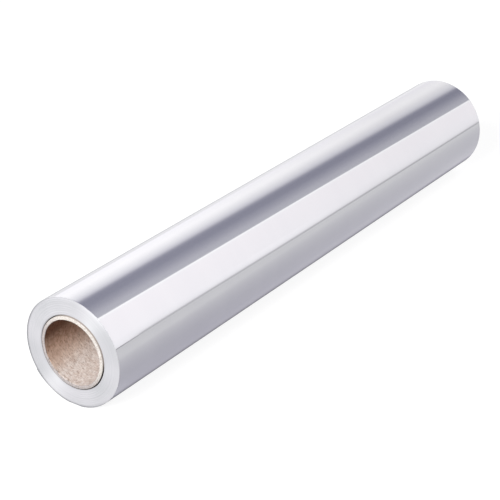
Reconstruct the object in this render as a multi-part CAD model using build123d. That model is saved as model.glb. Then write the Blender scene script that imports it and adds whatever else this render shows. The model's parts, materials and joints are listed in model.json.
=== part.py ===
from build123d import *
import math
import os

# A roll of clear wrapping film on a cardboard core, in millimetres. The roll lies along X on a small
# flat spot, with the middle of that flat spot at the origin, Z up and -Y towards the viewer.

# Core: a spiral-wound cardboard tube that stands a little out of the film at both ends
core_bore_diameter = 38.1
core_wall = 2.0
core_overhang = 0.7
core_edge_break = 0.3
core_edge_break_share = 0.4  # most of the wall that one broken edge may take

# Film: width, length and thickness of the sheet before it was wound
film_width = 400.0
film_length = 30000.0
film_thickness = 0.058

# The innermost turn is loose and the core lies low in it, so the room around the core is uneven
core_room_narrow = 0.1
core_room_wide = 0.9
core_room_wide_angle = 145.0  # from +Y towards +Z, so at the upper front

# The weight of the roll presses a flat strip into the turns that it lies on
flat_spot_width = 9.0

# The free edge of the film lies at the lower back of the roll
tail_angle = -35.0  # from +Y towards +Z

# Spiral of turns that shows on both ends; one drawn turn stands for a bundle of thin ones
drawn_turn_pitch = 1.2
turn_groove_width = 0.35
turn_groove_depth = 0.3
turn_groove_margin = 0.5  # from the innermost turn and from the flat spot

# Sizes that follow from those above
core_bore_radius = core_bore_diameter / 2
core_outer_radius = core_bore_radius + core_wall
film_bore_radius = core_outer_radius + (core_room_narrow + core_room_wide) / 2
film_bore_offset = (core_room_wide - core_room_narrow) / 2
film_end_area = film_length * film_thickness
roll_radius = math.sqrt(film_bore_radius**2 + film_end_area / math.pi)
axis_height = math.sqrt(roll_radius**2 - (flat_spot_width / 2) ** 2)

near_end = Plane(origin=(-film_width / 2, 0, axis_height), x_dir=(0, 1, 0), z_dir=(1, 0, 0))
far_end = Plane(origin=(film_width / 2, 0, axis_height), x_dir=(0, 1, 0), z_dir=(1, 0, 0))


def direction(angle):
    """Unit vector at an angle in the plane of the roll's end, from +Y towards +Z."""
    return Vector(math.cos(math.radians(angle)), math.sin(math.radians(angle)))


def spiral_arcs(start_radius, pitch, half_turns, start_angle):
    """Spiral of half circles about two centres, a quarter of the pitch either side of the axis.

    Its distance from the axis is start_radius at start_angle and grows by the pitch in each turn.
    """
    arcs = []
    for index in range(half_turns):
        side = -1 if index % 2 == 0 else 1
        centre = direction(start_angle) * (side * pitch / 4)
        radius = start_radius + pitch / 4 + index * pitch / 2
        arcs.append(CenterArc(centre, radius, start_angle + index * 180, 180))
    return arcs


def closed_face(first_arcs, second_arcs):
    """Face between two runs of arcs, closed by a straight line at each end."""
    start_line = Line(first_arcs[0] @ 0, second_arcs[0] @ 0)
    end_line = Line(first_arcs[-1] @ 1, second_arcs[-1] @ 1)
    return make_face([*first_arcs, end_line, *second_arcs, start_line])


def make_core_tube():
    """Plain tube, longer than the film is wide, with its four cut edges lightly broken."""
    ring = Circle(core_outer_radius) - Circle(core_bore_radius)
    tube = extrude(near_end.offset(-core_overhang) * ring, amount=film_width + 2 * core_overhang)
    cut_edges = tube.edges().filter_by(GeomType.CIRCLE)
    return chamfer(cut_edges, length=min(core_edge_break, core_edge_break_share * core_wall))


def make_film_outline():
    """Outline of the outermost turn: one turn of a spiral that ends in a step at the free edge."""
    turn = spiral_arcs(roll_radius - film_thickness / 2, film_thickness, 2, tail_angle)
    free_edge = Line(turn[-1] @ 1, turn[0] @ 0)
    return make_face([*turn, free_edge])


def make_turn_groove():
    """Spiral strip from the innermost to the outermost turn."""
    first_radius = film_bore_radius + film_bore_offset + turn_groove_margin
    last_radius = axis_height - turn_groove_margin - turn_groove_width
    half_turns = max(1, int((last_radius - first_radius) / (drawn_turn_pitch / 2)))
    inner_edge = spiral_arcs(first_radius, drawn_turn_pitch, half_turns, tail_angle)
    outer_edge = spiral_arcs(first_radius + turn_groove_width, drawn_turn_pitch, half_turns, tail_angle)
    return closed_face(inner_edge, outer_edge)


def make_film_roll():
    """Wound film with an uneven bore, a flat spot underneath and the spiral of its turns on both ends."""
    bore = Pos(direction(core_room_wide_angle) * film_bore_offset) * Circle(film_bore_radius)
    roll = extrude(near_end * (make_film_outline() - bore), amount=film_width)
    below_floor = Pos(0, 0, -roll_radius / 2) * Box(2 * film_width, 4 * roll_radius, roll_radius)
    groove = make_turn_groove()
    near_groove = extrude(near_end * groove, amount=turn_groove_depth)
    far_groove = extrude(far_end * groove, amount=-turn_groove_depth)
    return roll - below_floor - near_groove - far_groove


os.makedirs("parts", exist_ok=True)
export_step(make_core_tube(), "parts/core_tube.step")
export_step(make_film_roll(), "parts/film_roll.step")
print("roll diameter", round(2 * roll_radius, 2), "axis height", round(axis_height, 3))
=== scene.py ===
import json
import math

import bpy
import numpy as np
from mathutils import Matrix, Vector


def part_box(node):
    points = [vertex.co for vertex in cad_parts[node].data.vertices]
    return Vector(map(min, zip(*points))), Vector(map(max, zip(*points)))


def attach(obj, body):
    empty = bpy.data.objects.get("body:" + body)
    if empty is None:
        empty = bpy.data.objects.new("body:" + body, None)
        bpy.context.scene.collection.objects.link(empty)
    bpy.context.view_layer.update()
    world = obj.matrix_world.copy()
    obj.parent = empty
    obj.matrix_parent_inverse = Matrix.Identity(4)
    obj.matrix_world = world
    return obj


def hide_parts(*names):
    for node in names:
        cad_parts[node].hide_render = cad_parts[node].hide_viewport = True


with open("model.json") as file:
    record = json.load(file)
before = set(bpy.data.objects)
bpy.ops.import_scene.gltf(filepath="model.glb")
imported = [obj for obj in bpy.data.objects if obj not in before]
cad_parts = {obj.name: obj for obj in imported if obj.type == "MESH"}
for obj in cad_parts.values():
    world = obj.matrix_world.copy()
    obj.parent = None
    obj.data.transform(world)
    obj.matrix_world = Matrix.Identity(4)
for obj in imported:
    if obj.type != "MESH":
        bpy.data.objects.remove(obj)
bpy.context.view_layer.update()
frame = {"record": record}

mm = 0.001  # the script works in metres, sizes of the roll are written in millimetres
scene = bpy.context.scene
scene.view_settings.view_transform = "Standard"

# sizes that come from the frame
mounts = {mount["name"]: mount for mount in frame["record"]["mounts"]}
axisHeight = mounts["core_bore"]["pos_m"][2]
coreBore = mounts["core_bore"]["dims"]["r_mm"] * mm
filmLow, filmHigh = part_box("film_roll")
coreLow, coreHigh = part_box("core_tube")
coreOuter = (coreHigh.y - coreLow.y) / 2
rollRadius = filmHigh.z - axisHeight
halfWidth = (filmHigh.x - filmLow.x) / 2
coreHalf = (coreHigh.x - coreLow.x) / 2
print("frame: roll", round(2 * rollRadius / mm, 2), "mm across,", round(2 * halfWidth / mm, 1), "mm wide")


# sRGB hex to linear: x/12.92 below the knee, ((x+0.055)/1.055)^2.4 above it
def linearColour(hexText):
    srgb = np.array([int(hexText[i:i + 2], 16) for i in (1, 3, 5)]) / 255
    linear = np.where(srgb <= 0.04045, srgb / 12.92, ((srgb + 0.055) / 1.055) ** 2.4)
    return (*linear.tolist(), 1.0)


# a socket by its number, or by its name, which only one of those in use has
def findSocket(sockets, key):
    if isinstance(key, int):
        return sockets[key]
    return next(socket for socket in sockets if socket.enabled and socket.name == key)


# adds one node: settings go to its properties or else its sockets, links join its sockets to outputs;
# a node among the links stands for its first output in use
def addNode(tree, kind, settings=None, links=None):
    node = tree.nodes.new("ShaderNode" + kind)
    for key, value in (settings or {}).items():
        if isinstance(key, str) and hasattr(node, key):
            setattr(node, key, value)
        else:
            findSocket(node.inputs, key).default_value = value
    for key, source in (links or {}).items():
        if isinstance(source, bpy.types.Node):
            source = next(socket for socket in source.outputs if socket.enabled)
        tree.links.new(source, findSocket(node.inputs, key))
    return node


# settings of a map range: from one value to another, and what they become, 0 and 1 unless given
def fromTo(*ends):
    return dict(zip(("From Min", "From Max", "To Min", "To Max"), ends))


# settings of a mix from one sRGB hex tone to another
def twoTones(first, second):
    return {"data_type": "RGBA", "A": linearColour(first), "B": linearColour(second)}


# gives a colour ramp its stops: place from 0 to 1 and red, green, blue
def fillRamp(ramp, stops):
    elements = ramp.color_ramp.elements
    elements[0].position = stops[0][0]
    elements[1].position = stops[-1][0]
    for position, tone in stops[1:-1]:
        elements.new(position)
    for element, (position, tone) in zip(elements, stops):
        element.color = (*tone, 1.0)


# a material, its tree, and the point on the piece that its patterns go by
def newMaterial(name):
    material = bpy.data.materials.new(name)
    material.use_nodes = True
    tree = material.node_tree
    tree.nodes.clear()
    return material, tree, addNode(tree, "TexCoord").outputs["Object"]


# grid of points (rows, columns, 3) to a mesh; a closed one joins its last row and column to its first
def gridObject(name, points, closed=False, rowMaterial=None):
    rows, columns = points.shape[:2]
    rowCount = rows if closed else rows - 1
    columnCount = columns if closed else columns - 1
    i, j = np.meshgrid(np.arange(rowCount), np.arange(columnCount), indexing="ij")
    row, nextRow = i * columns, (i + 1) % rows * columns
    nextJ = (j + 1) % columns
    quads = np.stack([row + j, row + nextJ, nextRow + nextJ, nextRow + j], -1)
    mesh = bpy.data.meshes.new(name)
    mesh.from_pydata(points.reshape(-1, 3).tolist(), [], quads.reshape(-1, 4).tolist())
    mesh.polygons.foreach_set("use_smooth", np.ones(rowCount * columnCount, bool))
    if rowMaterial is not None:
        mesh.polygons.foreach_set("material_index", np.repeat(rowMaterial[:rowCount], columnCount))
    mesh.update()
    piece = bpy.data.objects.new(name, mesh)
    scene.collection.objects.link(piece)
    return piece


# turns (x, radius, angle) about the roll's axis into points; the angle runs from +Y towards +Z
def aroundAxis(x, radius, angle):
    x, radius, angle = np.broadcast_arrays(x, radius, angle)
    return np.stack([x, radius * np.cos(angle), axisHeight + radius * np.sin(angle)], -1)


# 0 before the start, 1 after the end, eased between them
def easeStep(start, end, value):
    t = np.clip((value - start) / (end - start), 0, 1)
    return t * t * (3 - 2 * t)


# periodic noise round the axis: a sum of sines with seeded phases, about 1 high
def roundNoise(angle, waves, seed):
    draw = np.random.default_rng(seed)
    phases = draw.uniform(0, 2 * math.pi, len(waves))
    return sum(np.sin(wave * angle + phase) for wave, phase in zip(waves, phases)) / len(waves) ** 0.5


# Wound film
wrap = {
    "columns": 360,  # round the roll
    "endRings": 84,  # from the innermost to the outermost turn
    "sideRings": 80,
    "boreRings": 5,
    "edgeRings": 5,
    "edgeRound": 0.12,
    "edgeHold": 0.3,  # first side ring after the rounded edge, so that the side stays straight up to it
    "endFall": 0.12,  # the outermost turns lie back a little
    "endFallWidth": 1.4,
    "coreRoomNarrow": 0.1,  # room between core and film, as in the solids
    "coreRoomWide": 0.9,
    "coreRoomWideAngle": 145.0,
    "tailAngle": -35.0,  # free edge of the film, low at the back
    "tailLift": 0.4,
    "tailRun": 8.0,
    "tailStep": 0.15,
    "turnPitch": 1.2,
    "turnDepth": 0.06,
    "turnWidth": 0.22,
    "turnMargin": 0.5,
    "uneven": 0.03,  # depth of turns that lie back
    "unevenPitches": (0.61, 1.37),
    "unevenSway": 0.7,  # the wider of them wander round the roll
    "unevenPhase": 0.4,
    "unevenMargin": 0.4,  # from the bore and from the rounded edge
    "ripple": 0.012,
    "ripples": (  # share of that height, waves round the roll, phase, sway, mm along it per sway
        (1.0, 3, 1.1, 2.2, 70.0),
        (0.6, 7, 0.0, 4.0, 110.0),
    ),
}


# radius of the film's bore: a circle a little off the axis, seen from the axis
def filmBoreRadius(angle):
    radius = coreOuter + (wrap["coreRoomNarrow"] + wrap["coreRoomWide"]) / 2 * mm
    offset = (wrap["coreRoomWide"] - wrap["coreRoomNarrow"]) / 2 * mm
    turned = angle - math.radians(wrap["coreRoomWideAngle"])
    return offset * np.cos(turned) + np.sqrt(radius**2 - (offset * np.sin(turned)) ** 2)


# radius of the outermost turn: a circle with slight ripples, raised where the free edge lifts, and cut by
# the floor
def filmOuterRadius(x, angle, turn):
    ripples = sum(share * np.sin(waves * angle + phase + sway * np.sin(x / (length * mm)))
                  for share, waves, phase, sway, length in wrap["ripples"])
    fromTail = (1 - turn) * 2 * math.pi * rollRadius
    lift = wrap["tailLift"] * mm * np.exp(-((fromTail / (wrap["tailRun"] * mm)) ** 2))
    radius = rollRadius - 2 * wrap["ripple"] * mm + wrap["ripple"] * mm * ripples + lift
    down = np.maximum(-np.sin(angle), 0.5)  # only the underside comes near the floor
    return np.minimum(radius, axisHeight / down)


# depth of the film's end below its plane: a groove along a spiral between bundles of turns, uneven turns,
# and a square law fall over the outermost turns
def endDepth(radius, angle, turn, inner, outer):
    pitch = wrap["turnPitch"] * mm
    first = coreOuter + (wrap["coreRoomWide"] + wrap["turnMargin"]) * mm
    phase = (radius - first) / pitch - turn
    toGroove = np.abs(phase - np.round(phase)) * pitch
    groove = wrap["turnDepth"] * mm * np.exp(-((toGroove / (wrap["turnWidth"] * mm)) ** 2))
    fine, wide = wrap["unevenPitches"]
    sway = wrap["unevenSway"] * np.sin(angle + wrap["unevenPhase"])
    waves = np.sin(radius / (fine * mm)) + np.sin(radius / (wide * mm) + sway)
    uneven = wrap["uneven"] * mm * (1 + waves / 2)
    margin = wrap["unevenMargin"] * mm
    window = easeStep(inner, inner + margin, radius) * easeStep(outer, outer - margin, radius)
    fallWidth = wrap["endFallWidth"] * mm
    fall = wrap["endFall"] * mm * np.clip((radius - outer + fallWidth) / fallWidth, 0, None) ** 2
    return (groove + uneven) * window + fall


# the whole film: a closed profile (near end, side, far end, bore) carried round the axis
def makeFilm():
    columns = wrap["columns"]
    turn = np.arange(columns) / (columns - 1)
    turn[-1] = 1 - wrap["tailStep"] * mm / (2 * math.pi * rollRadius)
    angle = math.radians(wrap["tailAngle"]) + 2 * math.pi * turn
    bore = filmBoreRadius(angle)
    edge = wrap["edgeRound"] * mm
    share = np.linspace(0, 1, wrap["endRings"])[:, None]
    arc = np.linspace(0, math.pi / 2, wrap["edgeRings"])[1:-1, None]

    def end(side):
        outer = filmOuterRadius(side * halfWidth, angle, turn) - edge
        radius = bore + share * (outer - bore)
        x = side * (halfWidth - endDepth(radius, angle, turn, bore, outer))
        edgeRadius = outer + edge * np.sin(arc)
        edgeX = side * (halfWidth - wrap["endFall"] * mm - edge + edge * np.cos(arc)) + 0 * edgeRadius
        return np.vstack([x, edgeX]), np.vstack([radius, edgeRadius])

    nearX, nearRadius = end(-1)
    farX, farRadius = end(1)
    sideHalf = halfWidth - edge - wrap["endFall"] * mm
    sideX = np.linspace(-sideHalf, sideHalf, wrap["sideRings"])
    hold = wrap["edgeHold"] * mm
    held = [sideX[0] + hold, sideX[-1] - hold]
    sideX = np.insert(sideX, [1, len(sideX) - 1], held)[:, None] + 0 * angle
    sideRadius = filmOuterRadius(sideX, angle, turn)
    boreX = np.linspace(halfWidth, -halfWidth, wrap["boreRings"])[1:-1, None] + 0 * angle
    boreRadius = bore + 0 * boreX
    x = np.vstack([nearX, sideX, farX[::-1], boreX])
    radius = np.vstack([nearRadius, sideRadius, farRadius[::-1], boreRadius])
    ends = len(nearX)
    side = len(sideX) - 1
    rowMaterial = np.ones(len(x), int)  # 0 is the side, 1 the ends and 2 the bore
    rowMaterial[ends:ends + side] = 0
    rowMaterial[2 * ends + side:] = 2
    return gridObject("film_roll_wound", aroundAxis(x, radius, angle), True, rowMaterial)


film = makeFilm()
print("film:", len(film.data.polygons), "faces")

# Cardboard core
core = {
    "columns": 300,
    "rimRings": 14,
    "outerRings": 5,
    "boreRings": 120,
    "boreCrowd": 1.6,  # rings of the bore stand closer near the two mouths
    "edgeBreak": 0.2,
    "innerEdge": 0.25,  # shares of the wall that its worn edges take
    "outerEdge": 0.15,
    "rimFall": 0.35,  # the rim is worn down towards its outer edge
    "rimFuzz": 0.06,  # fibres pulled up by the knife
    "fuzzWaves": (23, 37, 52, 71, 96),
    "fuzzDepth": 0.5,
    "fuzzFlat": 0.3,  # less of it on the flat of the rim
    "rimTorn": 0.5,  # the inner edge is torn over part of the turn
    "rimFlare": 0.2,  # and bent outwards there
    "tornWaves": (11, 29, 44, 83),
    "tornFrom": 225.0,
    "tornTo": 350.0,
    "tornEase": 25.0,
    "rimWorn": 0.35,  # the rim is worn down to the film at the lower left
    "wornAngle": 315.0,
    "wornReach": (0.1, 0.95),  # cosine of the angle from there, from none to full
    "plies": 3,
    "plyDepth": 0.05,
    "plyLine": 0.14,  # share of a ply beside its line
    "plyMargin": 0.08,  # shares of the wall without lines
    "seamLead": 96.0,  # the inner ply is a strip wound in a helix
    "seamWidth": 0.5,
    "seamDepth": 0.12,
    "seamPhase": 2.2,
    "nearSeed": 11,
    "farSeed": 17,
}


# depth of the helical joint of the inner ply: a bell-shaped groove along a helix, one turn for each lead
def seamDepth(x, angle):
    turned = angle - 2 * math.pi * x / (core["seamLead"] * mm) - core["seamPhase"]
    away = np.abs((turned + math.pi) % (2 * math.pi) - math.pi) * coreBore
    return core["seamDepth"] * mm * np.exp(-((away / (core["seamWidth"] * mm)) ** 2))


# the tube: a closed profile (near rim, outside, far rim, bore) carried round the axis
def makeCore():
    angle = np.arange(core["columns"]) / core["columns"] * 2 * math.pi
    degrees = np.degrees(angle)
    wall = coreOuter - coreBore
    edge = core["edgeBreak"] * mm
    share = np.linspace(0, 1, core["rimRings"])[:, None]

    def rim(side, seed):
        fuzz = roundNoise(angle, core["fuzzWaves"], seed) * core["rimFuzz"] * mm
        torn = easeStep(core["tornFrom"], core["tornFrom"] + core["tornEase"], degrees)
        torn = torn * easeStep(core["tornTo"], core["tornTo"] - core["tornEase"], degrees)
        raggedness = (core["rimFuzz"] + core["rimTorn"] * torn) * mm
        ragged = roundNoise(angle, core["tornWaves"], seed + 1) * raggedness
        innerEase = 1 - easeStep(0, core["innerEdge"], share)
        outerEase = easeStep(1 - core["outerEdge"], 1, share)
        plyLines = np.abs(((share * core["plies"]) % 1) - 0.5) > 0.5 - core["plyLine"]
        inside = (share > core["plyMargin"]) & (share < 1 - core["plyMargin"])
        depth = edge * (innerEase**2 + outerEase**2) + core["plyDepth"] * mm * (plyLines & inside)
        wearAndShade = easeStep(*core["wornReach"], np.cos(angle - math.radians(core["wornAngle"])))
        depth = depth + core["rimFall"] * mm * share**2 + core["rimWorn"] * mm * wearAndShade
        depth = np.maximum(depth + core["fuzzDepth"] * fuzz * (core["fuzzFlat"] + innerEase), 0)
        radius = coreBore + share * wall + (ragged + core["rimFlare"] * mm * torn) * innerEase
        return side * (coreHalf - depth), radius

    nearX, nearRadius = rim(-1, core["nearSeed"])
    farX, farRadius = rim(1, core["farSeed"])
    outerX = np.linspace(edge - coreHalf, coreHalf - edge, core["outerRings"])[1:-1, None] + 0 * angle
    outerRadius = coreOuter + 0 * outerX
    along = np.linspace(-1, 1, core["boreRings"])
    along = np.sign(along) * (1 - (1 - np.abs(along)) ** core["boreCrowd"])
    boreX = -along[1:-1, None] * (coreHalf - 2 * edge) + 0 * angle
    boreRadius = coreBore + seamDepth(boreX, angle)
    x = np.vstack([nearX, outerX, farX[::-1], boreX])
    radius = np.vstack([nearRadius, outerRadius, farRadius[::-1], boreRadius])
    rowMaterial = np.zeros(len(x), int)  # 0 is the bore, 1 the rims and 2 the outside
    rims = core["rimRings"] - 1
    farStart = core["rimRings"] + core["outerRings"] - 2
    rowMaterial[:rims] = 1
    rowMaterial[rims:farStart] = 2
    rowMaterial[farStart:farStart + rims + 1] = 1  # with the first strip of the bore, the torn lip
    rowMaterial[-1] = 1  # the torn lip of the near end
    return gridObject("core_tube_wound", aroundAxis(x, radius, angle), True, rowMaterial)


tube = makeCore()
print("core:", len(tube.data.polygons), "faces")


# the way from the roll's axis to a point, square to the axis
def fromAxis(tree, point):
    aboutAxis = {"Location": (0, 0, -axisHeight), "Scale": (0, 1, 1)}
    return addNode(tree, "Mapping", aboutAxis, {"Vector": point})


# cosine of the angle about the axis between a point and a direction given in degrees from +Y towards +Z
def facing(tree, point, degrees):
    outward = addNode(tree, "VectorMath", {"operation": "NORMALIZE"}, {0: fromAxis(tree, point)})
    angle = math.radians(degrees)
    direction = (0, math.cos(angle), math.sin(angle))
    return addNode(tree, "VectorMath", {"operation": "DOT_PRODUCT", 1: direction}, {0: outward})


# Clear polypropylene film, wound tight: hundreds of clear layers reflect like a soft mirror, and look a
# little cool
filmLook = {
    "layers": "#BFBFC1",
    "haze": "#BBBBBE",
    "hazeWidth": 14.0,  # along the roll
    "hazeAcross": 6.0,  # patches per metre across it, so that the haze lies in bands
    "roughness": (0.3, 0.7, 0.04, 0.06),  # haze from and to, and the roughness there
    "metallic": 0.9,
    "ior": 1.49,
}


def makeFilmMaterial():
    material, tree, point = newMaterial("wound polypropylene film")
    across = filmLook["hazeAcross"]
    drawn = addNode(
        tree, "Mapping", {"Scale": (1 / (filmLook["hazeWidth"] * mm), across, across)}, {"Vector": point})
    haze = addNode(tree, "TexNoise", {"Scale": 1.0, "Detail": 3.0, "Roughness": 0.6}, {"Vector": drawn})
    colour = addNode(tree, "Mix", twoTones(filmLook["layers"], filmLook["haze"]), {"Factor": haze})
    rough = addNode(tree, "MapRange", fromTo(*filmLook["roughness"]), {"Value": haze})
    shader = addNode(
        tree, "BsdfPrincipled", {"Metallic": filmLook["metallic"], "IOR": filmLook["ior"]},
        {"Base Color": colour, "Roughness": rough})
    addNode(tree, "OutputMaterial", {}, {"Surface": shader})
    return material


# Slit edges of the film: a stack of clear edges scatters light, so it is white, with faint rings and a
# glare that runs out from the core, because every edge is a fine groove round the axis
edgeLook = {
    "pale": "#BCBBBF",
    "shade": "#AAABAE",
    "patch": 22.0,
    "ringPitch": 0.8,  # real edges are 0.06 mm apart, drawn as coarse as shows
    "ringShare": 0.6,  # of the rings beside the patches
    "contrast": (0.55, 1.05),
    "ringDepth": 0.02,
    "ringStrength": 0.2,
    "roughness": 0.46,
    "anisotropic": 0.88,
    "specular": 1.0,
    "ior": 1.49,
    "outerShade": "#929296",  # painted shade on the outermost turns, darkest on the side turned from the key lamp
    "outerShadeFrom": 30.4,
    "outerShadeAngle": 322.0,
    "outerShadeReach": (-0.3, 0.5),  # cosine of the angle from there, from none to full
    "boreShade": "#7B7979",  # painted shade on the innermost turns, beside the slot round the core
    "boreShadeTo": 22.3,
    "boreShadeAngle": 52.0,  # most at the upper back
    "boreShadeReach": (0.45, 0.9, 0.25),  # as above, with a quarter of it elsewhere
}


def makeEdgeMaterial():
    material, tree, point = newMaterial("slit film edges")
    centred = fromAxis(tree, point)
    radius = addNode(tree, "VectorMath", {"operation": "LENGTH"}, {0: centred})
    outward = addNode(tree, "VectorMath", {"operation": "NORMALIZE"}, {0: centred})
    turns = addNode(tree, "Math", {"operation": "DIVIDE", 1: edgeLook["ringPitch"] * mm}, {0: radius})
    rings = addNode(
        tree, "TexNoise", {"noise_dimensions": "1D", "Scale": 1.0, "Detail": 4.0, "Roughness": 0.7},
        {"W": turns})
    patches = addNode(
        tree, "TexNoise", {"Scale": 1 / (edgeLook["patch"] * mm), "Detail": 1.0}, {"Vector": point})
    mixed = addNode(
        tree, "Math", {"operation": "MULTIPLY_ADD", 1: edgeLook["ringShare"]}, {0: rings, 2: patches})
    tone = addNode(tree, "MapRange", fromTo(*edgeLook["contrast"]), {"Value": mixed})
    colour = addNode(tree, "Mix", twoTones(edgeLook["shade"], edgeLook["pale"]), {"Factor": tone})

    # paints shade into a colour from one radius to another, by how far a point faces an angle
    def paintShade(colour, name, start, end, *levels):
        within = addNode(tree, "MapRange", fromTo(start, end, *levels), {"Value": radius})
        towards = facing(tree, point, edgeLook[name + "Angle"])
        turned = addNode(tree, "MapRange", fromTo(*edgeLook[name + "Reach"]), {"Value": towards})
        part = addNode(tree, "Math", {"operation": "MULTIPLY"}, {0: within, 1: turned})
        return addNode(
            tree, "Mix",
            {"data_type": "RGBA", "blend_type": "MULTIPLY", "B": linearColour(edgeLook[name])},
            {"Factor": part, "A": colour})

    # painted shade on the outermost turns, turned from the key lamp, and on the innermost turns beside
    # the slot
    colour = paintShade(colour, "outerShade", edgeLook["outerShadeFrom"] * mm, rollRadius)
    innermost = coreOuter + wrap["coreRoomNarrow"] * mm
    colour = paintShade(colour, "boreShade", innermost, edgeLook["boreShadeTo"] * mm, 1.0, 0.0)
    bump = addNode(
        tree, "Bump", {"Strength": edgeLook["ringStrength"], "Distance": edgeLook["ringDepth"] * mm},
        {"Height": rings})
    shader = addNode(
        tree, "BsdfPrincipled",
        {"Roughness": edgeLook["roughness"], "Anisotropic": edgeLook["anisotropic"],
         "Specular IOR Level": edgeLook["specular"], "IOR": edgeLook["ior"]},
        {"Base Color": colour, "Normal": bump, "Tangent": outward})
    addNode(tree, "OutputMaterial", {}, {"Surface": shader})
    return material


# Innermost turn: clear film, painted dark as the shade in the slot round the core
innerLook = {
    "shade": "#3A3634",
    "streak": "#5A5653",
    "streakLength": 6.0,
    "roughness": 0.35,
    "ior": 1.49,
}


def makeInnerShadeMaterial():
    material, tree, point = newMaterial("innermost film turn in painted shade")
    streaks = addNode(
        tree, "TexNoise", {"Scale": 1 / (innerLook["streakLength"] * mm), "Detail": 3.0},
        {"Vector": point})
    colour = addNode(tree, "Mix", twoTones(innerLook["shade"], innerLook["streak"]), {"Factor": streaks})
    shader = addNode(
        tree, "BsdfPrincipled", {"Roughness": innerLook["roughness"], "IOR": innerLook["ior"]},
        {"Base Color": colour})
    addNode(tree, "OutputMaterial", {}, {"Surface": shader})
    return material


# Kraft board, unbleached and uncoated: dull, mottled grey-brown with short fibres, with painted shade in
# the bore
boardLook = {
    "pale": "#ECE3DD",
    "brown": "#D7C7BD",
    "mottle": 2.2,
    "mottleRange": (0.38, 0.62),
    "fleck": "#8E7060",
    "fleckRange": (0.48, 0.66, 0.0, 0.62),
    "fibreWide": 0.8,
    "fibreLong": 2.0,  # the fibres run round the bore
    "fibreDepth": 0.15,
    "fibreStrength": 0.5,
    "topShadeAngle": 85.0,  # painted shade: the top of the bore is darker at the near end
    "topShadeLead": 1000.0,  # the painted shade turns a little about the axis with depth
    "topShades": (  # degrees from there, and what is left of the light
        (180.0, "#FFFFFF"),
        (148.0, "#FFFFFF"),
        (127.0, "#F8EBE1"),
        (101.0, "#EED3C1"),
        (82.0, "#CBAF9D"),
        (77.0, "#AA8C79"),
        (69.0, "#A07A63"),
        (30.0, "#9C765F"),
        (0.0, "#916A53"),
    ),
    "depthShade": 0.9,  # painted shade: a little darker deeper in
    "depthShadeDepth": 40.0,
    "roughness": 0.92,
    "ior": 1.45,
}


def makeBoardMaterial():
    material, tree, point = newMaterial("kraft board")
    mottle = addNode(
        tree, "TexNoise",
        {"Scale": 1 / (boardLook["mottle"] * mm), "Detail": 4.0, "Roughness": 0.62, "Distortion": 0.8},
        {"Vector": point})
    tone = addNode(tree, "MapRange", fromTo(*boardLook["mottleRange"]), {"Value": mottle})
    base = addNode(tree, "Mix", twoTones(boardLook["brown"], boardLook["pale"]), {"Factor": tone})
    wide, long = boardLook["fibreWide"] * mm, boardLook["fibreLong"] * mm
    drawn = addNode(tree, "Mapping", {"Scale": (1 / wide, 1 / long, 1 / long)}, {"Vector": point})
    fibre = addNode(
        tree, "TexNoise", {"Scale": 1.0, "Detail": 3.0, "Roughness": 0.7, "Distortion": 0.7},
        {"Vector": drawn})
    fleck = addNode(tree, "MapRange", fromTo(*boardLook["fleckRange"]), {"Value": fibre})
    colour = addNode(
        tree, "Mix", {"data_type": "RGBA", "B": linearColour(boardLook["fleck"])},
        {"Factor": fleck, "A": base})
    # painted shade: darker along the top of the bore, turning a little with depth, and darker deeper in
    axes = addNode(tree, "SeparateXYZ", {}, {"Vector": point})
    inwards = addNode(tree, "Math", {"operation": "ADD", 1: coreHalf}, {0: axes.outputs["X"]})
    perMetre = -2 * math.pi / (boardLook["topShadeLead"] * mm)
    swing = addNode(tree, "Math", {"operation": "MULTIPLY", 1: perMetre}, {0: inwards})
    unwound = addNode(
        tree, "VectorRotate", {"rotation_type": "X_AXIS", "Center": (0, 0, axisHeight)},
        {"Vector": point, "Angle": swing})
    towards = facing(tree, unwound, boardLook["topShadeAngle"])
    upward = addNode(tree, "MapRange", fromTo(-1.0, 1.0), {"Value": towards})
    topShade = addNode(tree, "ValToRGB", {}, {"Fac": upward})
    fillRamp(topShade, [((math.cos(math.radians(degrees)) + 1) / 2, linearColour(left)[:3])
                     for degrees, left in boardLook["topShades"]])
    depthShadeDepth = boardLook["depthShadeDepth"] * mm
    depthShade = addNode(tree, "MapRange", fromTo(0.0, depthShadeDepth, 1.0, boardLook["depthShade"]), {"Value": inwards})
    dimmed = addNode(tree, "VectorMath", {"operation": "SCALE"}, {0: topShade, "Scale": depthShade})
    shadedColour = addNode(
        tree, "Mix", {"data_type": "RGBA", "blend_type": "MULTIPLY", "Factor": 1.0},
        {"A": colour, "B": dimmed})
    bump = addNode(
        tree, "Bump", {"Strength": boardLook["fibreStrength"], "Distance": boardLook["fibreDepth"] * mm},
        {"Height": fibre})
    shader = addNode(
        tree, "BsdfPrincipled", {"Roughness": boardLook["roughness"], "IOR": boardLook["ior"]},
        {"Base Color": shadedColour, "Normal": bump})
    addNode(tree, "OutputMaterial", {}, {"Surface": shader})
    return material


# Knife-cut board: paler than the face, with the lines of the plies and raised fibres
cutLook = {
    "cream": "#C9C4BF",
    "ply": "#A3988E",
    "plyRange": (0.45, 0.7),
    "grain": 0.8,
    "grainDepth": 0.1,
    "grainStrength": 0.5,
    "sideShade": "#D9D6DA",  # painted shade: greyer on the side of the rim turned from the key lamp
    "sideShadeAngle": 310.0,
    "sideShadeReach": (-0.45, 0.25),  # cosine of the angle from there, from none to full
    "roughness": 0.95,
    "ior": 1.45,
}


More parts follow.
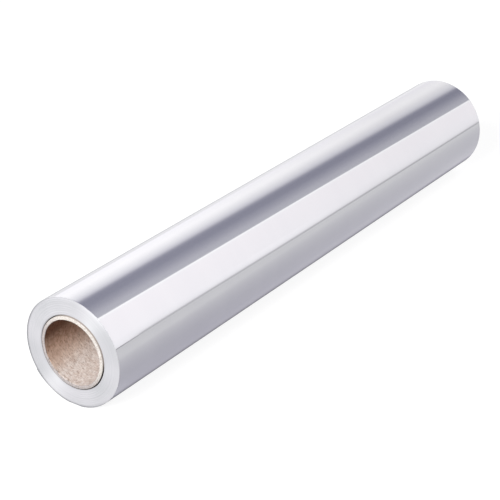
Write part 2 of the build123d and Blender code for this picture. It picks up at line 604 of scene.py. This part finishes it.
def makeCutMaterial():
    material, tree, point = newMaterial("cut board edge")
    grain = addNode(
        tree, "TexNoise", {"Scale": 1 / (cutLook["grain"] * mm), "Detail": 3.0, "Roughness": 0.65},
        {"Vector": point})
    tone = addNode(tree, "MapRange", fromTo(*cutLook["plyRange"]), {"Value": grain})
    colour = addNode(tree, "Mix", twoTones(cutLook["cream"], cutLook["ply"]), {"Factor": tone})
    # painted shade on the side of the rim turned from the key lamp
    towards = facing(tree, point, cutLook["sideShadeAngle"])
    wearAndShade = addNode(tree, "MapRange", fromTo(*cutLook["sideShadeReach"]), {"Value": towards})
    sideShaded = addNode(
        tree, "Mix", {"data_type": "RGBA", "blend_type": "MULTIPLY", "B": linearColour(cutLook["sideShade"])},
        {"Factor": wearAndShade, "A": colour})
    bump = addNode(
        tree, "Bump", {"Strength": cutLook["grainStrength"], "Distance": cutLook["grainDepth"] * mm},
        {"Height": grain})
    shader = addNode(
        tree, "BsdfPrincipled", {"Roughness": cutLook["roughness"], "IOR": cutLook["ior"]},
        {"Base Color": sideShaded, "Normal": bump})
    addNode(tree, "OutputMaterial", {}, {"Surface": shader})
    return material


# Outermost ply of the core, which carries the glue that the film starts on: grey-brown, a little shiny,
# and darker for painted slot shade
plyLook = {
    "glue": "#978C85",
    "paper": "#B5ABA4",
    "patch": 5.0,
    "slotShade": "#3B332E",  # painted shade in the slot at the lower front
    "slotShadeAngle": 215.0,
    "slotShadeReach": (0.8, 0.93),  # cosine of the angle from there, from none to full
    "roughness": 0.6,
    "ior": 1.45,
}


def makePlyMaterial():
    material, tree, point = newMaterial("glued outer ply")
    patches = addNode(
        tree, "TexNoise", {"Scale": 1 / (plyLook["patch"] * mm), "Detail": 3.0}, {"Vector": point})
    colour = addNode(tree, "Mix", twoTones(plyLook["glue"], plyLook["paper"]), {"Factor": patches})
    # painted shade in the slot at the lower front
    towards = facing(tree, point, plyLook["slotShadeAngle"])
    inSlotShade = addNode(tree, "MapRange", fromTo(*plyLook["slotShadeReach"]), {"Value": towards})
    slotShaded = addNode(
        tree, "Mix", {"data_type": "RGBA", "B": linearColour(plyLook["slotShade"])},
        {"Factor": inSlotShade, "A": colour})
    shader = addNode(
        tree, "BsdfPrincipled", {"Roughness": plyLook["roughness"], "IOR": plyLook["ior"]},
        {"Base Color": slotShaded})
    addNode(tree, "OutputMaterial", {}, {"Surface": shader})
    return material


for material in (makeFilmMaterial(), makeEdgeMaterial(), makeInnerShadeMaterial()):
    film.data.materials.append(material)
for material in (makeBoardMaterial(), makeCutMaterial(), makePlyMaterial()):
    tube.data.materials.append(material)
print("materials: film, film edges, inner turn, board, cut board, outer ply")

for piece, node, slotName in ((film, "film_roll", "clear_film"), (tube, "core_tube", "kraft_core")):
    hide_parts(node)
    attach(piece, "root")

# Light tent: bands of light along a wide half cylinder, in metres, which the film mirrors; a slope is the
# distance along the roll as a share of the distance off its axis
tentCloth = {
    "radius": 6.0,
    "halfLength": 42.0,
    "rows": 15,
    "columns": 61,
    "turn": 21.3,  # degrees that its length swings to the front at its far end
    "peak": 2.0,  # brightness of a full white in the bands below
    "bands": (  # degrees from the front floor line over the top, share of the peak as red, green, blue
        (0.0, (0.26, 0.26, 0.27)),
        (2.0, (0.26, 0.26, 0.27)),
        (2.5, (0.76, 0.75, 0.77)),
        (6.0, (0.83, 0.82, 0.84)),
        (14.0, (0.88, 0.87, 0.89)),
        (30.0, (0.91, 0.89, 0.91)),
        (80.0, (0.92, 0.89, 0.91)),
        (86.3, (0.92, 0.90, 0.92)),
        (86.7, (1.0, 1.0, 1.0)),
        (89.1, (1.0, 1.0, 1.0)),
        (89.7, (0.43, 0.43, 0.47)),
        (97.0, (0.40, 0.40, 0.45)),
        (108.0, (0.28, 0.28, 0.34)),
        (116.0, (0.21, 0.212, 0.273)),
        (123.0, (0.205, 0.205, 0.265)),
        (127.0, (0.26, 0.26, 0.32)),
        (133.0, (0.57, 0.565, 0.61)),
        (138.0, (0.71, 0.71, 0.74)),
        (145.0, (0.83, 0.82, 0.84)),
        (152.0, (0.90, 0.89, 0.90)),
        (158.0, (0.91, 0.90, 0.91)),
        (168.0, (0.84, 0.83, 0.85)),
        (180.0, (0.74, 0.73, 0.76)),
    ),
    "backSkew": (108.0, 128.0, 0.0, 10.0),  # the back bands turn: degrees from and to, degrees per slope
    "skewPivot": 1.16,  # slope at which the bands are as above
    "farFade": (0.92, 1.4, 1.0),  # dimmer to the far end: slope from and to, brightness at the first
    "farShare": (125.0, 140.0, 0.89, 0.80),  # and at the second: degrees from and to, front and back
    "nearFade": (0.0, 0.75, 0.03, 1.0),  # dim to the near end, which the key lights: slopes, brightness
    "nearShine": (-0.9, -0.3, 0.6, 1.0),  # the same in reflections
}


# emission by the lean of a point from the front floor line, dimmed by its slope
def makeTentMaterial(front):
    material, tree, point = newMaterial("lit tent cloth")
    axes = addNode(tree, "SeparateXYZ", {}, {"Vector": point})
    ahead = addNode(tree, "VectorMath", {"operation": "DOT_PRODUCT", 1: tuple(front)}, {0: point})
    lean = addNode(tree, "Math", {"operation": "ARCTAN2"}, {0: axes.outputs["Z"], 1: ahead})
    degrees = addNode(tree, "Math", {"operation": "DEGREES"}, {0: lean})
    across = addNode(tree, "VectorMath", {"operation": "MULTIPLY", 1: (0, 1, 1)}, {0: point})
    off = addNode(tree, "VectorMath", {"operation": "LENGTH"}, {0: across})
    slope = addNode(tree, "Math", {"operation": "DIVIDE"}, {0: axes.outputs["X"], 1: off})
    skew = addNode(tree, "MapRange", fromTo(*tentCloth["backSkew"]), {"Value": degrees})
    fromPivot = addNode(tree, "Math", {"operation": "SUBTRACT", 1: tentCloth["skewPivot"]}, {0: slope})
    skewed = addNode(tree, "Math", {"operation": "MULTIPLY_ADD"}, {0: fromPivot, 1: skew, 2: degrees})
    place = addNode(tree, "MapRange", fromTo(0.0, 180.0), {"Value": skewed})
    bands = addNode(tree, "ValToRGB", {}, {"Fac": place})
    fillRamp(bands, [(angle / 180, tone) for angle, tone in tentCloth["bands"]])
    farShare = addNode(tree, "MapRange", fromTo(*tentCloth["farShare"]), {"Value": degrees})
    farFade = addNode(
        tree, "MapRange", fromTo(*tentCloth["farFade"]), {"Value": slope, "To Max": farShare})
    nearFade = addNode(tree, "MapRange", fromTo(*tentCloth["nearFade"]), {"Value": slope})
    nearShine = addNode(tree, "MapRange", fromTo(*tentCloth["nearShine"]), {"Value": slope})
    path = addNode(tree, "LightPath")
    near = addNode(
        tree, "Mix", {"data_type": "FLOAT"},
        {"Factor": path.outputs["Is Glossy Ray"], "A": nearFade, "B": nearShine})
    fade = addNode(tree, "Math", {"operation": "MULTIPLY"}, {0: farFade, 1: near})
    strength = addNode(tree, "Math", {"operation": "MULTIPLY", 1: tentCloth["peak"]}, {0: fade})
    light = addNode(tree, "Emission", {}, {"Color": bands, "Strength": strength})
    addNode(tree, "OutputMaterial", {}, {"Surface": light})
    return material


# half a cylinder over a level axis turned from the roll's: place along it, and lean from the front floor
# line to the back one
def makeTent():
    turn = math.radians(tentCloth["turn"])
    axis = np.array([math.cos(turn), -math.sin(turn), 0])
    front = np.array([-math.sin(turn), -math.cos(turn), 0])
    up = np.array([0, 0, 1])
    lean = np.linspace(0, math.pi, tentCloth["columns"])[None, :, None]
    along = np.linspace(-1, 1, tentCloth["rows"])[:, None, None] * tentCloth["halfLength"]
    outward = front * np.cos(lean) + up * np.sin(lean)
    tent = gridObject("light_tent", along * axis + tentCloth["radius"] * outward)
    tent.data.materials.append(makeTentMaterial(front))
    tent.visible_camera = False
    return tent


# Card that stands on the floor before the tent, in metres: the lower edge of the highlight along the film
lightCard = {
    "columns": 60,
    "reach": (0.17, 7.0),  # distance to the front, from and to
    "foot": (0.892, -0.05, 0.013),  # slope, shift and bend of its foot in plan
    "rise": 0.3,  # height as a share of its distance to the front
    "tones": (  # height as such a share, share of the tent's peak as red, green, blue
        (0.0, (0.46, 0.46, 0.47)),
        (0.035, (0.46, 0.46, 0.47)),
        (0.06, (0.62, 0.61, 0.63)),
        (0.1, (0.80, 0.79, 0.81)),
        (0.15, (0.85, 0.84, 0.86)),
        (0.3, (0.91, 0.89, 0.91)),
    ),
}


# emission by height, with the tent's fade to the far end
def makeCardMaterial():
    material, tree, point = newMaterial("lit card")
    axes = addNode(tree, "SeparateXYZ", {}, {"Vector": point})
    toFront = addNode(tree, "Math", {"operation": "ABSOLUTE"}, {0: axes.outputs["Y"]})
    rise = addNode(tree, "Math", {"operation": "DIVIDE"}, {0: axes.outputs["Z"], 1: toFront})
    tones = addNode(tree, "ValToRGB", {}, {"Fac": rise})
    fillRamp(tones, lightCard["tones"])
    slope = addNode(tree, "Math", {"operation": "DIVIDE"}, {0: axes.outputs["X"], 1: toFront})
    frontShare = tentCloth["farShare"][2]
    fade = addNode(tree, "MapRange", fromTo(*tentCloth["farFade"], frontShare), {"Value": slope})
    strength = addNode(tree, "Math", {"operation": "MULTIPLY", 1: tentCloth["peak"]}, {0: fade})
    light = addNode(tree, "Emission", {}, {"Color": tones, "Strength": strength})
    addNode(tree, "OutputMaterial", {}, {"Surface": light})
    return material


# upright sheet: at a distance d to the front its foot is at x = slope * d + shift + bend / d^2, and its
# height is a share of d
def makeCard():
    slope, shift, bend = lightCard["foot"]
    ahead = np.geomspace(*lightCard["reach"], lightCard["columns"])[:, None]
    x = slope * ahead + shift + bend / ahead**2
    z = np.array([[0, 1]]) * lightCard["rise"] * ahead
    card = gridObject("card", np.stack(np.broadcast_arrays(x, -ahead, z), -1))
    card.data.materials.append(makeCardMaterial())
    card.visible_camera = False
    card.visible_diffuse = False
    card.visible_shadow = False
    return card


# White paper floor: dull, with light of its own to the eye and in reflections, so that it looks white and
# still keeps the roll's shadow; its light in reflections holds a painted shadow under and beside the roll
paperFloor = {
    "half": 45.0,  # metres
    "drop": 0.05,  # below the roll
    "tone": "#7C7C7C",
    "lift": (0.5, 2.0, 0.88, 1.0),  # light to the eye: metres from the origin from and to, level there
    "peak": 2.0,  # brightness of a full white in the glow below
    "reach": 1000.0,
    "glowAndShadow": (  # light in reflections: mm across the roll, share of the peak; a painted shadow under and beside the roll
        (-150.0, (0.455, 0.455, 0.465)),
        (-45.0, (0.267, 0.262, 0.302)),
        (-23.5, (0.27, 0.265, 0.305)),
        (-20.5, (0.06, 0.06, 0.07)),
        (85.0, (0.05, 0.05, 0.06)),
        (140.0, (0.24, 0.24, 0.25)),
        (185.0, (0.38, 0.38, 0.39)),
        (335.0, (0.48, 0.48, 0.49)),
        (950.0, (0.52, 0.52, 0.53)),
    ),
    "openShare": (-100.0, 200.0, 0.0, 0.38),  # share of the open floor's light over the painted shadow: mm along the roll from and to
    "contactShadow": (-26.0, -22.0, 1.0, 0.0),  # mm across the roll from and to, where that share ends and the painted shadow under the roll is full
}


# dull paper plus emission: one level for the eye, and the glow across the roll, with its painted shadow,
# for reflections
def makeFloorMaterial():
    material, tree, point = newMaterial("white paper floor")
    axes = addNode(tree, "SeparateXYZ", {}, {"Vector": point})
    reach = paperFloor["reach"] * mm
    across = addNode(tree, "MapRange", fromTo(-reach, reach), {"Value": axes.outputs["Y"]})
    glowAndShadow = addNode(tree, "ValToRGB", {}, {"Fac": across})
    fillRamp(glowAndShadow, [((y * mm + reach) / (2 * reach), tone) for y, tone in paperFloor["glowAndShadow"]])
    start, end, *levels = paperFloor["openShare"]
    along = addNode(tree, "MapRange", fromTo(start * mm, end * mm, *levels), {"Value": axes.outputs["X"]})
    start, end, *levels = paperFloor["contactShadow"]
    clear = addNode(tree, "MapRange", fromTo(start * mm, end * mm, *levels), {"Value": axes.outputs["Y"]})
    opened = addNode(tree, "Math", {"operation": "MULTIPLY"}, {0: along, 1: clear})
    openTone = (*paperFloor["glowAndShadow"][0][1], 1.0)
    tone = addNode(tree, "Mix", {"data_type": "RGBA", "B": openTone}, {"Factor": opened, "A": glowAndShadow})
    inMirror = addNode(tree, "VectorMath", {"operation": "SCALE", "Scale": paperFloor["peak"]}, {0: tone})
    away = addNode(tree, "VectorMath", {"operation": "LENGTH"}, {0: point})
    toEye = addNode(tree, "MapRange", fromTo(*paperFloor["lift"]), {"Value": away})
    path = addNode(tree, "LightPath")
    isCamera = path.outputs["Is Camera Ray"]
    seen = addNode(tree, "Mix", {"data_type": "RGBA"}, {"Factor": isCamera, "A": inMirror, "B": toEye})
    reflected = addNode(
        tree, "Math", {"operation": "MAXIMUM"},
        {0: path.outputs["Is Glossy Ray"], 1: path.outputs["Is Transmission Ray"]})
    shows = addNode(tree, "Math", {"operation": "MAXIMUM"}, {0: isCamera, 1: reflected})
    paper = addNode(tree, "BsdfDiffuse", {"Color": linearColour(paperFloor["tone"])})
    light = addNode(tree, "Emission", {}, {"Color": seen, "Strength": shows})
    both = addNode(tree, "AddShader", {}, {0: paper, 1: light})
    addNode(tree, "OutputMaterial", {}, {"Surface": both})
    return material


# level square: x and y each run from one side to the other
def makeFloor():
    side = np.array([-paperFloor["half"], paperFloor["half"]])
    x, y = np.meshgrid(side, side)
    floor = gridObject("floor", np.stack([x, y, np.full((2, 2), -paperFloor["drop"] * mm)], -1))
    floor.data.materials.append(makeFloorMaterial())
    return floor


# Soft boxes, in metres: the key lights the near end and the bore, the fill lights the far end
lamps = {
    "key_lamp": {
        "end": -1,
        "towards": (-0.86, -0.07, 0.505),
        "distance": 2.2,
        "size": 0.9,
        "power": 85.0,
    },
    "fill_lamp": {
        "end": 1,
        "towards": (0.97, -0.2, 0.055),
        "distance": 2.2,
        "size": 0.28,
        "power": 32.0,
    },
}


# square lamp at a distance from the middle of one end, turned to it
def makeLamp(name):
    look = lamps[name]
    data = bpy.data.lights.new(name, "AREA")
    data.size = look["size"]
    data.energy = look["power"]
    lamp = bpy.data.objects.new(name, data)
    scene.collection.objects.link(lamp)
    toLamp = Vector(look["towards"]).normalized()
    lamp.location = Vector((look["end"] * halfWidth, 0, axisHeight)) + toLamp * look["distance"]
    lamp.rotation_euler = (-toLamp).to_track_quat("-Z", "Y").to_euler()


# plain white behind the floor
def makeWorld():
    world = bpy.data.worlds.new("white studio")
    scene.world = world
    world.use_nodes = True
    tree = world.node_tree
    tree.nodes.clear()
    white = addNode(tree, "Background", {"Color": (1, 1, 1, 1), "Strength": 1.0})
    addNode(tree, "OutputWorld", {}, {"Surface": white})


makeTent()
makeCard()
makeFloor()
for lampName in lamps:
    makeLamp(lampName)
makeWorld()
print("studio: tent, card, floor, lamps, world")

# Camera: long lens, looking down along the roll from its near end
viewpoint = {
    "lens": 113.5,
    "azimuth": -55.14,
    "elevation": 26.03,
    "distance": 0.9386,  # metres, from the point that it aims at
    "aim": (-0.0456, -0.0063),  # in plan, at the height of the axis
    "clip": (0.05, 100.0),
}


# camera back from its aim along a direction given by azimuth and elevation, turned to the aim
def makeCamera():
    data = bpy.data.cameras.new("photo_camera")
    data.lens = viewpoint["lens"]
    data.clip_start, data.clip_end = viewpoint["clip"]
    camera = bpy.data.objects.new("photo_camera", data)
    scene.collection.objects.link(camera)
    azimuth = math.radians(viewpoint["azimuth"])
    elevation = math.radians(viewpoint["elevation"])
    level = math.cos(elevation)
    back = Vector((math.sin(azimuth) * level, -math.cos(azimuth) * level, math.sin(elevation)))
    camera.location = Vector((*viewpoint["aim"], axisHeight)) + back * viewpoint["distance"]
    camera.rotation_euler = (-back).to_track_quat("-Z", "Y").to_euler()
    scene.camera = camera


makeCamera()
print("camera placed")
